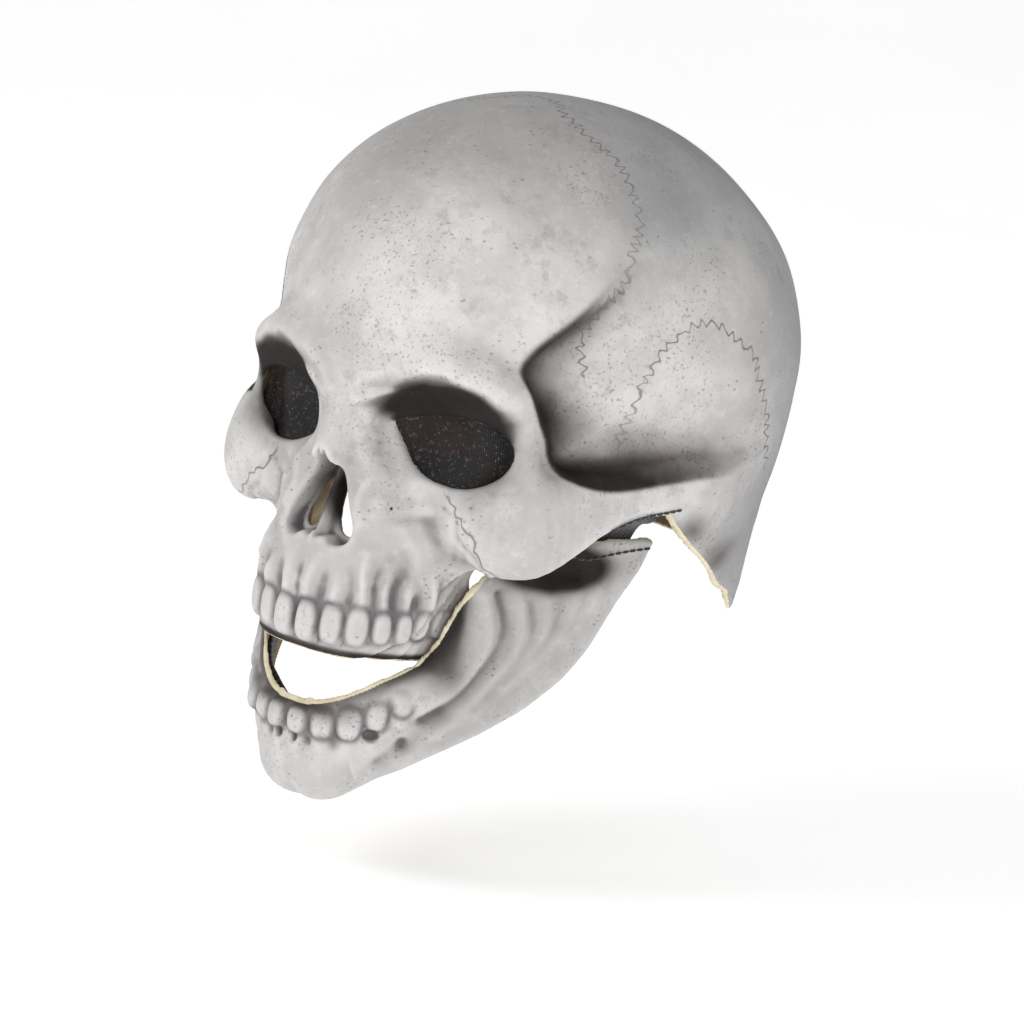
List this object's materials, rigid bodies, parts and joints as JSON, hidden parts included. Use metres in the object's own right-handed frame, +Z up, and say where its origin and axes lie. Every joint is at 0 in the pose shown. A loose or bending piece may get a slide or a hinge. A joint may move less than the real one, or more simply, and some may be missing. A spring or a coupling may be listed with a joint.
{
  "type": "latex halloween mask",
  "caption": "Full-head latex skull mask with a separate jaw on elastics, gauze eyes, foam pads and a rear head strap.",
  "frame": {"origin": "midway between the two jaw pivots, beside the wearer's ears", "axes": "+Z up the head, -Y out of the face, +X to the mask's own left"},
  "size_m": [0.2016, 0.2261, 0.2655],
  "materials": {
    "bone_latex": "matte",
    "eye_gauze": "matte",
    "glued_band": "matte",
    "foam": "matte",
    "elastic": "matte",
    "thread": "satin",
    "webbing": "matte",
    "raw_latex": "matte",
    "hook_and_loop": "matte"
  },
  "bodies": {
    "cranium": {"cranium_shell": "bone_latex", "eye_mesh_left": "eye_gauze", "eye_mesh_right": "eye_gauze", "eye_mesh_band_left": "glued_band", "eye_mesh_band_right": "glued_band", "crown_pad": "foam", "forehead_pad": "foam", "occiput_pad": "foam", "temple_pad_left": "foam", "temple_pad_right": "foam", "jaw_elastic_left": "elastic", "jaw_elastic_right": "elastic", "arch_stitches_left": "thread", "arch_stitches_right": "thread", "head_strap_left": "webbing", "loop_tape": "hook_and_loop", "strap_anchor_left": "raw_latex", "strap_anchor_right": "raw_latex"},
    "jaw": {"jaw_shell": "bone_latex", "jaw_stitches_left": "thread", "jaw_stitches_right": "thread", "chin_cup": "foam", "chin_strap": "webbing", "chin_strap_patch_left": "raw_latex", "chin_strap_patch_right": "raw_latex"},
    "strap_tail": {"head_strap_right": "webbing", "hook_tape": "hook_and_loop"}
  },
  "joints": [
    {"name": "jaw_hinge", "type": "hinge", "parent": "cranium", "child": "jaw", "pos_m": [0, 0, 0], "axis": [1, 0, 0], "range_deg": [-4, 12], "stiffness_Nm_per_rad": 1},
    {"name": "strap_adjust", "type": "hinge", "parent": "cranium", "child": "strap_tail", "pos_m": [0, -0.007, 0.004], "axis": [0, 0, 1], "range_deg": [0, 10]}
  ]
}
